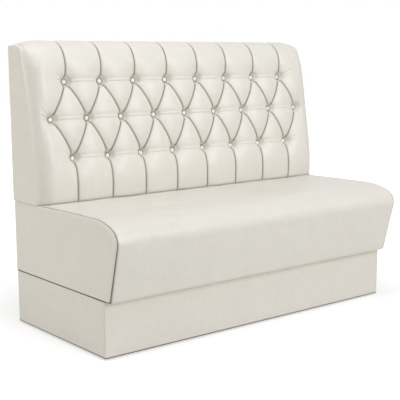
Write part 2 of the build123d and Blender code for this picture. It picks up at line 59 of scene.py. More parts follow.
# The seat's front is two arcs: the tight nose, then from a turn of SHOULDER_TURN the long
# shoulder up to the flat top
NOSE_CENTRE = (-286.0, 409.0)
NOSE_RADIUS = 50.0
SHOULDER_CENTRE = (-205.28, 237.0)
SHOULDER_RADIUS = 240.0
SHOULDER_TURN = math.radians(115.14)

# The leaning back board, the end's bowed front edge and the rows of buttons. A row has its
# height, how far its buttons stand forward of the board, and their count.
LEAN = 81.0 / 563.0
BOARD_FORWARD = 147.0
BACK_HEIGHT = 563.0
FOOT_FORWARD = 34.0
TOP_FORWARD = 24.0
SIDE_BOW = 13.0
HALF_PITCH = 77.375
LAST_COLUMN = 619.0
ROWS = {
    "lower": (159.0, 42.0, 8),
    "middle": (303.0, 43.0, 9),
    "upper": (437.0, 35.0, 8),
}


# Small tools


def linear(code):
    """An sRGB hex colour as the linear RGBA that a shader socket takes."""
    parts = [int(code[i:i + 2], 16) / 255 for i in (0, 2, 4)]
    return [c / 12.92 if c <= 0.04045 else ((c + 0.055) / 1.055) ** 2.4 for c in parts] + [1.0]


def add(tree, kind, inputs=(), **settings):
    """Adds one shader node, with its settings and its inputs, values or links."""
    made = tree.nodes.new("ShaderNode" + kind)
    for key, value in settings.items():
        setattr(made, key, value)
    for key, value in dict(inputs).items():
        if isinstance(value, bpy.types.NodeSocket):
            tree.links.new(value, made.inputs[key])
        else:
            made.inputs[key].default_value = value
    return made


def material(name):
    """A new material with its node tree, its shader and its object coordinates."""
    made = bpy.data.materials.new(name)
    made.use_nodes = True
    tree = made.node_tree
    place = add(tree, "TexCoord").outputs["Object"]
    return made, tree, tree.nodes["Principled BSDF"], place


def smooth_run(points, rounds=4):
    """A smooth curve near a run of points, by cutting its corners again and again."""
    line = np.array(points, float)
    for _ in range(rounds):
        near = 0.75 * line[:-1] + 0.25 * line[1:]
        far = 0.25 * line[:-1] + 0.75 * line[1:]
        inner = np.stack([near, far], 1).reshape(-1, line.shape[1])
        line = np.vstack([line[:1], inner[1:-1], line[-1:]])
    return line


def run_lengths(line):
    """The distance along a curve at each of its points."""
    steps = np.hypot(*np.diff(line, axis=0).T)
    return np.concatenate([[0.0], np.cumsum(steps)])


def at(line, where):
    """Points of a curve at some distances along it."""
    lengths = run_lengths(line)
    return np.stack([np.interp(where, lengths, line[:, k]) for k in (0, 1)], -1)


def left_normals(line):
    """Unit vectors square to a curve, to the left of its run."""
    run = np.gradient(line, axis=0)
    run /= np.linalg.norm(run, axis=1)[:, None]
    return np.stack([-run[:, 1], run[:, 0]], -1)


def swell(share):
    """A quarter round: 0 at an edge, 1 from where the share reaches 1."""
    t = np.clip(share, 0, 1)
    return np.sqrt(t * (2 - t))


def sheet_of(columns, rows, place):
    """A sheet of quads, with place giving each of its crossings a point from i and j."""
    bm = bmesh.new()
    bmesh.ops.create_grid(bm, x_segments=columns, y_segments=rows, size=0.5)
    crossings = np.array([v.co[:2] for v in bm.verts]) + 0.5
    i = np.rint(crossings[:, 0] * columns).astype(int)
    j = np.rint(crossings[:, 1] * rows).astype(int)
    for vert, point in zip(bm.verts, place(i, j)):
        vert.co = point
    return bm


def inset_line(line, amount):
    """A closed outline moved inwards, each of its edges by that edge's own amount."""
    edge = np.roll(line, -1, 0) - line
    turn = np.sign(np.sum(line[:, 0] * edge[:, 1] - line[:, 1] * edge[:, 0]))
    into = turn * np.stack([-edge[:, 1], edge[:, 0]], -1) / np.hypot(*edge.T)[:, None]
    before, less = np.roll(into, 1, 0), np.roll(amount, 1)
    dot = np.sum(before * into, -1)
    sharp = dot < 0.98
    sine = np.where(sharp, 1 - dot ** 2, 1.0)
    even = (less + amount) / 2 / (1 + dot)
    first = np.where(sharp, (less - amount * dot) / sine, even)
    second = np.where(sharp, (amount - less * dot) / sine, even)
    return line + first[:, None] * before + second[:, None] * into


def loft_of(rings):
    """A closed skin through closed rings of one count, with its two end rings filled."""
    stack = np.array(rings, float)
    count = stack.shape[1]
    bm = sheet_of(count, len(stack) - 1, lambda i, j: stack[j, i % count])
    bmesh.ops.remove_doubles(bm, verts=bm.verts, dist=1e-4)
    bmesh.ops.holes_fill(bm, edges=[e for e in bm.edges if e.is_boundary])
    return bm


def mark_painted_shade(bm, values):
    """Keeps the painted shade at each point, for the leatherette's colour: dark in pleats,
    seams, gaps and contact lines.
    """
    layer = bm.verts.layers.float.new("painted_shade")
    for vert, value in zip(bm.verts, values):
        vert[layer] = value


def keep_sharp(edges):
    """Breaks the smooth shading at some edges, where one piece ends against another."""
    for edge in edges:
        edge.smooth = False


def ring_of(points):
    """One flat face with the points as its corners."""
    bm = bmesh.new()
    bmesh.ops.create_circle(bm, segments=len(points), radius=1, cap_ends=True)
    for vert, point in zip(bm.verts, points):
        vert.co = point
    bm.faces.ensure_lookup_table()
    return bm


def piece(bm, name, look, nodes=(), flat_area=None):
    """Finishes a piece: metres, outward faces, smooth shading, material, body and node."""
    bmesh.ops.scale(bm, vec=(MM, MM, MM), verts=bm.verts)
    bmesh.ops.recalc_face_normals(bm, faces=bm.faces)
    for face in bm.faces:
        face.smooth = flat_area is None or face.calc_area() < flat_area * MM * MM
    mesh = bpy.data.meshes.new(name)
    bm.to_mesh(mesh)
    bm.free()
    mesh.materials.append(look)
    made = bpy.data.objects.new(name, mesh)
    bpy.context.scene.collection.objects.link(made)
    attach(made, "bench")
    if nodes:
        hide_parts(*nodes)
    return made


# Materials


def leatherette(name, colour, shade_colour, roughness):
    """PU-coated leatherette, embossed with a fine pebble grain and pulled over foam.
    It gives a soft satin sheen, a faintly cloudy ivory, and painted shade in its pleats, seams
    and gaps."""
    made, tree, shader, place = material(name)
    # Cloudy shade of the coating, in patches of about 80 mm and of about 20 mm
    cloud = add(tree, "TexNoise", {"Vector": place, "Scale": 12.0, "Detail": 3.0})
    fleck = add(tree, "TexNoise", {"Vector": place, "Scale": 48.0, "Detail": 2.0})
    both = add(tree, "Math", {0: cloud.outputs[0], 1: fleck.outputs[0]}, operation="ADD")
    shade = add(tree, "MapRange", {0: both.outputs[0], 1: 0.7, 2: 1.3, 3: 0.978, 4: 1.018})
    tint = add(tree, "Mix", {0: 1.0, 6: linear(colour), 7: shade.outputs[0]},
               data_type="RGBA", blend_type="MULTIPLY")
    # Painted shade in pleats, seams, gaps and contact lines, from the piece's own attribute
    painted_shade = add(tree, "Attribute", attribute_name="painted_shade")
    shaded = add(tree, "Mix", {0: painted_shade.outputs["Fac"], 6: tint.outputs[2], 7: linear(shade_colour)},
               data_type="RGBA")
    tree.links.new(shaded.outputs[2], shader.inputs["Base Color"])
    # Pebble grain: real pebbles are 1.2 mm, drawn at 2.5 mm so that they show at all
    pebble = add(tree, "TexVoronoi", {"Vector": place, "Scale": 400.0},
                 feature="SMOOTH_F1")
    # Soft creases in the coating, about 14 mm apart
    fold = add(tree, "TexNoise", {"Vector": place, "Scale": 70.0, "Detail": 4.0,
                                  "Distortion": 0.6})
    grain = add(tree, "Bump", {"Strength": 0.35, "Distance": 0.0003,
                               "Height": pebble.outputs["Distance"]})
    relief = add(tree, "Bump", {"Strength": 0.22, "Distance": 0.0012,
                                "Height": fold.outputs[0], "Normal": grain.outputs[0]})
    tree.links.new(relief.outputs[0], shader.inputs["Normal"])
    satin = add(tree, "MapRange", {0: fleck.outputs[0], 1: 0.3, 2: 0.7,
                                   3: roughness - 0.05, 4: roughness + 0.06})
    tree.links.new(satin.outputs[0], shader.inputs["Roughness"])
    shader.inputs["IOR"].default_value = 1.48
    shader.inputs["Coat Weight"].default_value = 0.2
    shader.inputs["Coat Roughness"].default_value = 0.3
    return made


def plywood(name, layer_axis, grain_axis):
    """Raw birch plywood: pale rotary-cut veneer with long grain on its faces, and
    1.4 mm plies that show as light and dark lines on its cut edges."""
    made, tree, shader, place = material(name)
    stretch = [60.0, 60.0, 60.0]
    stretch[grain_axis] = 4.0
    run = add(tree, "Mapping", {"Vector": place, "Scale": stretch})
    figure = add(tree, "TexNoise", {"Vector": run.outputs[0], "Scale": 1.0, "Detail": 5.0,
                                    "Distortion": 0.8})
    split = add(tree, "SeparateXYZ", {0: place})
    # Light and dark plies alternate every 1.4 mm through the board
    ply = add(tree, "Math", {0: split.outputs[layer_axis], 1: 2244.0}, operation="MULTIPLY")
    wave = add(tree, "Math", {0: ply.outputs[0]}, operation="SINE")
    layer = add(tree, "MapRange", {0: wave.outputs[0], 1: -0.4, 2: 0.4, 3: 0.0, 4: 0.45})
    wood = add(tree, "ValToRGB", {0: figure.outputs[0]})
    wood.color_ramp.elements[0].position = 0.3
    wood.color_ramp.elements[0].color = linear("C9A878")
    wood.color_ramp.elements[1].position = 0.7
    wood.color_ramp.elements[1].color = linear("E3CBA0")
    glue = add(tree, "Mix", {0: layer.outputs[0], 6: wood.outputs[0], 7: linear("A88355")},
               data_type="RGBA")
    tree.links.new(glue.outputs[2], shader.inputs["Base Color"])
    relief = add(tree, "Bump", {"Strength": 0.3, "Distance": 0.0004,
                                "Height": figure.outputs[0]})
    tree.links.new(relief.outputs[0], shader.inputs["Normal"])
    shader.inputs["Roughness"].default_value = 0.68
    return made


def speckled(name, low, high, size, roughness, depth, metallic=0.0, stretch=(1, 1, 1)):
    """A finish whose colour and relief follow one noise of a real size in millimetres."""
    made, tree, shader, place = material(name)
    run = add(tree, "Mapping", {"Vector": place, "Scale": stretch})
    speck = add(tree, "TexNoise", {"Vector": run.outputs[0], "Scale": 1000.0 / size,
                                   "Detail": 4.0, "Roughness": 0.6})
    colours = add(tree, "ValToRGB", {0: speck.outputs[0]})
    colours.color_ramp.elements[0].position = 0.35
    colours.color_ramp.elements[0].color = linear(low)
    colours.color_ramp.elements[1].position = 0.65
    colours.color_ramp.elements[1].color = linear(high)
    tree.links.new(colours.outputs[0], shader.inputs["Base Color"])
    relief = add(tree, "Bump", {"Strength": 0.5, "Distance": depth * MM,
                                "Height": speck.outputs[0]})
    tree.links.new(relief.outputs[0], shader.inputs["Normal"])
    polish = add(tree, "MapRange", {0: speck.outputs[0], 1: 0.3, 2: 0.7,
                                    3: roughness - 0.06, 4: roughness + 0.06})
    tree.links.new(polish.outputs[0], shader.inputs["Roughness"])
    shader.inputs["Metallic"].default_value = metallic
    return made


# Each leatherette's second colour is that of its painted shade
ivory = leatherette("ivory_PU_leatherette", "E0DCD3", "56462F", 0.43)
pearl = leatherette("pearl_PU_button_leatherette", "F4F1EA", "A79C8A", 0.22)
# Upholstery foam: open cells of about 1.5 mm, pale yellow, with no gloss
foam = speckled("open_cell_PU_foam", "D9C98C", "EFE3B4", 1.5, 0.92, 0.9)
# Sawn beech: short dark flecks along the grain, matt from the saw
beech = speckled("sawn_beech", "AD7F52", "CBA374", 3.0, 0.66, 0.2, stretch=(1, 1, 0.12))
# Hardboard: pressed brown fibre, smooth with a faint waxy sheen
hardboard = speckled("smooth_hardboard", "5E4029", "76543A", 1.2, 0.5, 0.05)
# Zinc plate: bluish bright grey with small cloudy spangles
zinc = speckled("zinc_plated_steel", "A9AEB2", "C6CACC", 4.0, 0.34, 0.02, metallic=1.0)
# Moulded nylon: near black, with the fine spark texture of the mould
nylon = speckled("moulded_black_nylon", "17181A", "232427", 0.8, 0.48, 0.04)
# Moulded polypropylene: cloudy off-white, slightly waxy
polypropylene = speckled("moulded_polypropylene", "C9C6BC", "DAD7CE", 6.0, 0.4, 0.03)


def waxed_twine():
    """Waxed buttoning twine: two pale strands twisted once every 3 mm, with a dull shine."""
    made, tree, shader, place = material("waxed_polyester_twine")
    strand = add(tree, "TexWave", {"Vector": place, "Scale": 330.0, "Distortion": 1.5,
                                   "Detail": 1.0}, bands_direction="DIAGONAL")
    colours = add(tree, "ValToRGB", {0: strand.outputs[1]})
    colours.color_ramp.elements[0].color = linear("A1957B")
    colours.color_ramp.elements[1].color = linear("D6CCB2")
    tree.links.new(colours.outputs[0], shader.inputs["Base Color"])
    relief = add(tree, "Bump", {"Strength": 0.6, "Distance": 0.0003,
                                "Height": strand.outputs[1]})
    tree.links.new(relief.outputs[0], shader.inputs["Normal"])
    shader.inputs["Roughness"].default_value = 0.5
    return made


X_AXIS, Y_AXIS, Z_AXIS = 0, 1, 2
ply_lying = plywood("birch_plywood_lying", Z_AXIS, X_AXIS)
ply_facing = plywood("birch_plywood_facing", Y_AXIS, X_AXIS)
ply_rib = plywood("birch_plywood_rib", X_AXIS, Z_AXIS)
twine = waxed_twine()

node_looks = {
    ply_lying: ("plinth_top_board", "seat_base_board", "seat_deck", "seat_rear_shelf",
                "back_bottom_board", "back_top_rail"),
    ply_facing: ("plinth_front_board", "plinth_rear_board", "seat_front_board",
                 "seat_rear_board", "seat_riser", "back_front_board"),
    ply_rib: ("plinth_left_board", "plinth_right_board", "plinth_left_rib",
              "plinth_right_rib", "seat_left_rib", "seat_right_rib", "seat_side_left",
              "seat_side_right", "back_left_rib", "back_right_rib", "back_side_left",
              "back_side_right"),
    beech: ("plinth_corner_blocks",),
    hardboard: ("back_rear_panel",),
    zinc: ("back_bolts", "seat_bolts", "bolt_nuts", "foot_inserts", "foot_stem_front_left",
           "foot_stem_front_right", "foot_stem_rear_left", "foot_stem_rear_right"),
    nylon: ("foot_pad_front_left", "foot_pad_front_right", "foot_pad_rear_left",
            "foot_pad_rear_right"),
    twine: ("button_twines",),
    polypropylene: ("twine_toggles",),
}
for look, names in node_looks.items():
    for name in names:
        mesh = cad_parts[name].data
        mesh.materials.clear()
        mesh.materials.append(look)


# Buttoned back, in distance from the rear and height above the back's base. Its outer line
# runs from the foot up the front and over to the rear, and s is the run along it.
OUTER_LINE = [
    (196, -1.6), (207, -1.2), (211.5, 5), (214.5, 30), (217, 64), (218.5, 112), (214.5, 160),
    (200, 230), (188, 304), (176, 370), (163, 437), (154, 488), (143, 520), (124, 551),
    (99, 575), (60, 588.5), (22, 587), (4, 582), (0, 570),
]
OUTER_TURN_NEAR = (118, 556)
# The end's front corner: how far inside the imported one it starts, the height it tucks in over
# at its foot, and how far it tucks in
EDGE_SOFT = 4.5
FOOT_ROUND = 26.0
FOOT_TUCK = 12.0
# Its turn over the top starts at one height and ends at a distance from the rear
CORNER_FROM = 530.0
CORNER_TO = 55.0
END_TOP = 567.0
EDGE_TURN_NEAR = (80, 556)
# Width of the round from the end's face to the pad, at four places along the outer line
END_ROUND = (48.0, 62.0, 62.0, 96.0)
ROUND_POWER = 0.85
# Near the foot the relief sinks level, and not square to the outer line
LEVEL_END = 56.0
LEVEL_FADE = 40.0


def side_front(h):
    """Distance of the end's front corner from the rear at a height, tucked in at its foot."""
    share = h / BACK_HEIGHT
    forward = FOOT_FORWARD + (TOP_FORWARD - FOOT_FORWARD) * share - EDGE_SOFT
    tuck = FOOT_TUCK * (1 - swell(h / FOOT_ROUND))
    return BOARD_FORWARD - LEAN * h + forward + 4 * SIDE_BOW * share * (1 - share) - tuck


def side_edge():
    """The end's outer corner, from its foot up the front and over the top to the rear."""
    heights = np.concatenate([FOOT_ROUND * (1 - np.cos(np.linspace(0, math.pi / 2, 9))),
                              np.linspace(FOOT_ROUND, CORNER_FROM, 14)[1:]])
    low = np.array([side_front(CORNER_FROM), CORNER_FROM])
    knee = np.array([side_front(BACK_HEIGHT) + 3, END_TOP - 1.0])
    high = np.array([CORNER_TO, END_TOP])
    corner = [(1 - t) ** 2 * low + 2 * t * (1 - t) * knee + t ** 2 * high
              for t in np.linspace(0, 1, 11)[1:]]
    top = [(d, END_TOP) for d in np.linspace(CORNER_TO, 0, 9)[1:]]
    return np.vstack([np.column_stack([side_front(heights), heights]), corner, top])


def run_near(line, point):
    """Distance along a curve to its point nearest to a given one."""
    return run_lengths(line)[np.argmin(np.hypot(*(line - point).T))]


outer = smooth_run(OUTER_LINE)
outer_in = left_normals(outer)
outer_run = run_lengths(outer)
outer_turn = run_near(outer, OUTER_TURN_NEAR)
s_end = outer_run[-1]
round_at = [40, 160, outer_turn - 70, outer_turn]
edge_line = side_edge()
edge_end = run_lengths(edge_line)[-1]
edge_turn = run_near(edge_line, EDGE_TURN_NEAR)


def place_on_outer(s, depth):
    """Point of the outer line at s, sunk inwards by a depth, and level near the foot."""
    n = np.stack([np.interp(s, outer_run, outer_in[:, k]) for k in (0, 1)], -1)
    foot = np.clip((LEVEL_END - np.asarray(s)) / LEVEL_FADE, 0, 1)[..., None]
    n = n * (1 - foot) + np.array([-1.0, 0.0]) * foot
    return at(outer, s) + n * np.asarray(depth)[..., None]


def back_section(inward, s, depth):
    """Points of the back at some distances in from its end face: the end's corner, rounded
    out to the outer line. The line is sunk inwards by a depth."""
    along = np.interp(s, [0, outer_turn, s_end], [0, edge_turn, edge_end])
    edge = at(edge_line, along)
    t = np.clip(np.asarray(inward) / np.interp(s, round_at, END_ROUND), 0, 1)
    round_out = (t * (2 - t)) ** ROUND_POWER
    return edge + (place_on_outer(s, depth) - edge) * round_out[..., None]


# Relief of the pad. Pleats run from button to button, and on to the foot and over the top.
ROW_REACH = 30.0
PLEAT_DEPTH = 14.0
PLEAT_WIDTH = 58.0
PLEAT_BOTTOM = 1.2
PLEAT_LINE = 3.0
# Share of a pleat's depth left at the turn over the top and at the rear, and at the foot
PLEAT_OVER_TOP = (1.0, 0.42, 0.2)
PLEAT_AT_FOOT = 0.85
# Pleats that meet keep the deeper one's depth, the more so the higher this power
PLEAT_JOIN = 4
# The hollow between neighbours of a row, less deep midway, and the tight raised line in it
HOLLOW = 6.6
HOLLOW_LESS = 2.2
HOLLOW_HALF = 12.0
LINE = 1.4
LINE_MORE = 3.0
LINE_HALF = 3.2
# Small wrinkles all round a button, and long ones outwards from the last button of a row
WRINKLES = 7
WRINKLE_DEPTH = 0.3
PULLS = 17
PULL_DEPTH = 2.6
PULL_TURN = 0.5
PULL_SPREAD = 0.65
# The pit round a button, the radius that its head holds flat and where the cover is free
PIT_WIDTH = 50.0
PIT_POWER = 1.4
HELD = 9.5
LOOSE = 26.0
# A ring of painted shade round a button's rim: its radius, half width and strength
RIM_RADIUS = 10.0
RIM_WIDTH = 2.8
RIM_SHADE = 0.9
# Painted shade on the rounded front corners, and a painted shadow along the foot where it rests
# on the seat
SEAM_SHADE = 0.12
FOOT_SHADE = 0.9
FOOT_SHADE_RUN = 12.0
# The relief, and its painted shade lines, fade towards the seam with the end cover
RELIEF_FADE = 16.0
CREASE_FADE = 40.0

row_s, row_depth = {}, {}
for row, (height, forward, count) in ROWS.items():
    seat_point = np.array([BOARD_FORWARD - LEAN * height + forward, height])
    front = np.abs(outer[:, 1] - height) < ROW_REACH
    gap = seat_point - outer[front]
    across = np.abs(np.cross(outer_in[front], gap))
    best = np.argmin(across)
    row_s[row] = outer_run[front][best]
    row_depth[row] = float(np.dot(outer_in[front][best], gap[best]))

buttons = [
    (row, HALF_PITCH * (2 * index - (count - 1)), row_s[row])
    for row, (height, forward, count) in ROWS.items()
    for index in range(count)
]
pleats = []
for row, x, s in buttons:
    if row == "upper":
        pleats.append(((x, s), (x, s_end + 40)))
    if row == "lower":
        pleats.append(((x, s), (x, -60.0)))
    if row != "middle":
        for side in (-1, 1):
            pleats.append(((x, s), (x + side * HALF_PITCH, row_s["middle"])))


def distance_to(start, end, x, s):
    """Distance from points to a straight pleat between two buttons."""
    run = np.subtract(end, start)
    share = ((x - start[0]) * run[0] + (s - start[1]) * run[1]) / np.dot(run, run)
    share = np.clip(share, 0, 1)
    return np.hypot(x - start[0] - share * run[0], s - start[1] - share * run[1])


def pleat_relief(x, s):
    """Depth of the pleats, and the painted shade that darkens a point near the bottom of one.
    """
    total, painted_shade = np.zeros_like(x), np.zeros_like(x)
    over_top = np.interp(s, [row_s["upper"] + 40, outer_turn, s_end], PLEAT_OVER_TOP)
    at_foot = np.interp(s, [14, 60], [PLEAT_AT_FOOT, 1.0])
    for start, end in pleats:
        d = distance_to(start, end, x, s)
        rise = 1 - swell(np.hypot(d, PLEAT_BOTTOM) / PLEAT_WIDTH)
        total += (PLEAT_DEPTH * over_top * at_foot * rise) ** PLEAT_JOIN
        painted_shade = np.maximum(painted_shade, np.exp(-(d / PLEAT_LINE) ** 2))
    shade = np.interp(s, [0, 30, outer_turn, outer_turn + 60], [0.5, 1, 1, 0.5])
    return total ** (1 / PLEAT_JOIN), painted_shade * shade


def row_relief(x, s):
    """The hollow between neighbouring buttons of a row, with its tight raised line."""
    total = np.zeros_like(x)
    for row, (height, forward, count) in ROWS.items():
        reach = HALF_PITCH * (count - 1)
        along = np.clip((reach + 34 - np.abs(x)) / 30, 0, 1)
        # How far a point is from the nearest button of the row: 0 at it, 1 midway
        phase = (x / HALF_PITCH - (count - 1)) / 2
        off = np.abs(phase - np.rint(phase)) * 2
        away = s - row_s[row]
        hollow = (HOLLOW - HOLLOW_LESS * off) * np.exp(-np.abs(away / HOLLOW_HALF) ** 1.5)
        height_of_line = LINE + LINE_MORE * np.minimum(off * 3, 1)
        line = height_of_line * np.exp(-((away - 1) / LINE_HALF) ** 2)
        total += along * (hollow - line)
    return total


def fan_relief(x, s):
    """Short wrinkles that fan out from the buttons, longer at the ends of the rows."""
    total = np.zeros_like(x)
    for number, (row, bx, bs) in enumerate(buttons):
        reach = HALF_PITCH * (ROWS[row][2] - 1)
        outward = np.sign(bx) if abs(abs(bx) - reach) < 1 else 0
        r = np.hypot(x - bx, s - bs)
        angle = np.arctan2(s - bs, x - bx)
        ring = np.clip((r - 8) / 8, 0, 1) * np.exp(-np.maximum(r - 14, 0) / 11)
        total += WRINKLE_DEPTH * ring * np.cos(WRINKLES * angle + number * 1.7)
        if outward:
            facing = np.arctan2(s - bs, (x - bx) * outward)
            sector = np.exp(-((facing - PULL_TURN) / PULL_SPREAD) ** 2)
            longer = np.clip((r - 12) / 12, 0, 1) * np.exp(-np.maximum(r - 34, 0) / 15)
            total += PULL_DEPTH * sector * longer * np.cos(PULLS * facing + number)
    return total


def pit_share(x, s, bx, bs):
    """How much of a button's own pit reaches a point: 1 at the button."""
    return np.exp(-(np.hypot(x - bx, s - bs) / PIT_WIDTH) ** PIT_POWER)


# The pits' depths that bring the pad to each button's seat, with the pleats and rows there
bx, bs = np.array([b[1] for b in buttons]), np.array([b[2] for b in buttons])
wanted = np.array([row_depth[b[0]] for b in buttons])
there = pleat_relief(bx, bs)[0] + row_relief(bx, bs)
mutual = np.stack([pit_share(bx, bs, *b[1:]) for b in buttons], 1)
pits = np.linalg.solve(mutual, wanted - there)

# The pad's sheet: 22 cells to each half pitch, and finer ones towards its two end seams
EDGE_CELLS = 24
COLUMN_CELLS = 16 * 22
ROW_CELLS = [46, 44, 44, 78]
PAD_HALF = BACK_SEAM - 0.05
SIDE_WIDTH = BACK_HALF - BACK_SEAM
edge_steps = (1 - np.cos(np.linspace(0, math.pi / 2, EDGE_CELLS + 1)))[::-1]
edge_x = PAD_HALF - (PAD_HALF - LAST_COLUMN) * edge_steps
inner_x = np.linspace(-LAST_COLUMN, LAST_COLUMN, COLUMN_CELLS + 1)
back_x = np.concatenate([-edge_x[:0:-1], inner_x, edge_x[1:]])
stops = [0.0, row_s["lower"], row_s["middle"], row_s["upper"], s_end]
back_s = np.concatenate([
    np.linspace(a, b, n + 1)[:-1] for a, b, n in zip(stops, stops[1:], ROW_CELLS)
] + [[s_end]])
painted_shade_of = {}


def end_shade(inward, s):
    """Painted shade on the rounded front corners of the back, where the end's face turns to the
    pad.
    """
    front = np.clip((outer_turn - s) / 40, 0, 1) * np.clip(inward / 10, 0, 1)
    return SEAM_SHADE * front * np.exp(-(np.maximum(inward - 16, 0) / 30) ** 2)


def place_back(i, j):
    """Points of the pad, and the painted shade at each, from its columns and rows."""
    x, s = back_x[i], back_s[j]
    relief, painted_shade = pleat_relief(x, s)
    relief = relief + row_relief(x, s) + fan_relief(x, s)
    for (row, px, ps), amount in zip(buttons, pits):
        relief = relief + amount * pit_share(x, s, px, ps)
    for row, px, ps in buttons:
        # The button holds the cover flat under its head, and a ring of painted shade runs round
        # its rim
        r = np.hypot(x - px, s - ps)
        t = np.clip((LOOSE - r) / (LOOSE - HELD), 0, 1)
        hold = t * t * (3 - 2 * t)
        relief = relief * (1 - hold) + row_depth[row] * hold
        rim = RIM_SHADE * np.exp(-((r - RIM_RADIUS) / RIM_WIDTH) ** 2)
        painted_shade = np.maximum(painted_shade * (1 - 0.6 * hold), rim)
    near = PAD_HALF - np.abs(x)
    relief = relief * np.clip(near / RELIEF_FADE, 0, 1)
    section = back_section(BACK_HALF - np.abs(x), s, relief)
    painted_shade = painted_shade * np.clip(near / CREASE_FADE, 0, 1)
    painted_shade = np.maximum(painted_shade, end_shade(near + SIDE_WIDTH, s))
    # Painted shadow along the foot, where it rests on the seat
    painted_shade = np.maximum(painted_shade, FOOT_SHADE * np.exp(-(s / FOOT_SHADE_RUN) ** 2))
    painted_shade_of["back"] = painted_shade
    return np.stack([x, REAR - section[:, 0], BACK_BASE + section[:, 1]], -1)


def close_along(bm, first_row, last_row, path):
    """Closes a sheet into a solid: carries its first row along a path to its last row, and
    caps the two open sides."""
    def border_of(row):
        return [e for e in bm.edges if e.is_boundary and all(v.index in row for v in e.verts)]

    bm.verts.index_update()
    loop = border_of(first_row)
    for y, z in path:
        made = bmesh.ops.extrude_edge_only(bm, edges=loop)["geom"]
        for vert in (v for v in made if isinstance(v, bmesh.types.BMVert)):
            vert.co.y, vert.co.z = y, z
        loop = [e for e in made if isinstance(e, bmesh.types.BMEdge)
                and e.is_boundary and abs(e.verts[0].co.y - e.verts[1].co.y) < 1e-6
                and abs(e.verts[0].co.x - e.verts[1].co.x) > 1e-6]
    bmesh.ops.bridge_loops(bm, edges=loop + border_of(last_row))
    bmesh.ops.holes_fill(bm, edges=[e for e in bm.edges if e.is_boundary])


# The pad's inner side, over the base foam and the board, as Y and Z
PAD_INNER = [(REAR - 158, BACK_BASE), (REAR - 80, BACK_BASE + 540),
             (REAR - 5.5, BACK_BASE + 540)]
bm = sheet_of(len(back_x) - 1, len(back_s) - 1, place_back)
mark_painted_shade(bm, painted_shade_of["back"])
keep_sharp(e for e in bm.edges if e.is_boundary)
close_along(bm, range(len(back_x)), range(len(bm.verts) - len(back_x), len(bm.verts)),
            PAD_INNER)
piece(bm, "buttoned_back_cover", ivory,
      ("back_cover",), flat_area=2000)


# Seat cover: leatherette over foam, crowned a little between its two side seams


def seat_front(inset, z):
    """Y of the undercut front at a height."""
    return SEAT_FOOT + inset - (z - SEAT_BASE) * math.tan(UNDERCUT)


def nose_points(inset, count):
    """Points of the round nose and shoulder, from the undercut front to the flat top."""
    points = []
    for turn in np.linspace(math.pi + UNDERCUT, math.pi / 2, count):
        (y, z), radius = ((NOSE_CENTRE, NOSE_RADIUS) if turn > SHOULDER_TURN
                          else (SHOULDER_CENTRE, SHOULDER_RADIUS))
        points.append((y + (radius - inset) * math.cos(turn),
                       z + (radius - inset) * math.sin(turn)))
    return points


SEAT_FALL = 3.0
FALL_FROM = -70.0
FALL_RUN = 210.0
# The cover is sunk at its side seams and rises to its crown over the roll's width
SEAM_SINK = 2.2
SEAT_CROWN = 6.2
SEAT_ROLL = 46.0
# Width of the painted shade along the side seams; then the cover's thickness
SEAM_LINE = 4.5
COVER_THICKNESS = 1.8
# Loose waves of the cover, by their lengths
WAVE_LENGTHS = (260, 190, 140, 90, 70)
WAVE_DEPTH = 0.25
WAVE_ROLL = 60.0
# Where the relief comes in, from the foot of the front up and from the side seams inwards
FOOT_HELD = 8.0
FOOT_FADE = 24.0
SEAM_FADE = 6.0
# Little pulls across the side seam: their depth, the place along the front where they are
# strongest, how far they reach along and in from the seam, and their spacing and slant
NOSE_PULL = 0.8
NOSE_PULL_AT = 235.0
NOSE_PULL_RUN = 75.0
NOSE_PULL_REACH = 24.0
NOSE_PULL_STEP = 5.2
NOSE_PULL_SLANT = 14.0
# Where the back's foot rests, with a painted shadow along it, and where the cover is drawn down
# under the back
REST_LINE = 128.0
REST_WIDTH = 7.0
REST_SHADE = 0.75
REST_FROM_SEAM = 12.0
UNDER_BACK = 150.0
UNDER_BACK_RUN = 20.0
UNDER_BACK_SINK = 0.4
SEAT_EDGE = SEAT_SEAM - 0.3
SEAT_BAND = 90.0


def seat_fall(y):
    """How far the seat's top sinks towards the back."""
    t = np.clip((np.asarray(y) - FALL_FROM) / FALL_RUN, 0, 1)
    return SEAT_FALL * t * t * (3 - 2 * t)


seat_line = np.array(
    [(-266, 206.5), (-281, 205.6), (-286.6, 206.2), (-289.4, 209), (-291.6, 216)]
    + nose_points(0, 70)
    + [(y, BACK_BASE) for y in (-180, -60, 60, 120, 160, 334)]
)
seat_out = left_normals(seat_line)
seat_run = run_lengths(seat_line)
seat_inner = SEAT_EDGE - SEAT_BAND
seat_edge_x = SEAT_EDGE - SEAT_BAND * (1 - np.sin(np.linspace(0, math.pi / 2, 19)))
seat_inner_x = np.linspace(-seat_inner, seat_inner, 181)
seat_x = np.concatenate([-seat_edge_x[:0:-1], seat_inner_x, seat_edge_x[1:]])
seat_s = np.concatenate([np.linspace(0, 30, 11)[:-1], np.linspace(30, seat_run[-1], 150)])
rng = np.random.default_rng(7)
waves = [(rng.uniform(-1, 1), rng.uniform(-1, 1), rng.uniform(0, 6.3), length)
         for length in WAVE_LENGTHS for _ in range(3)]


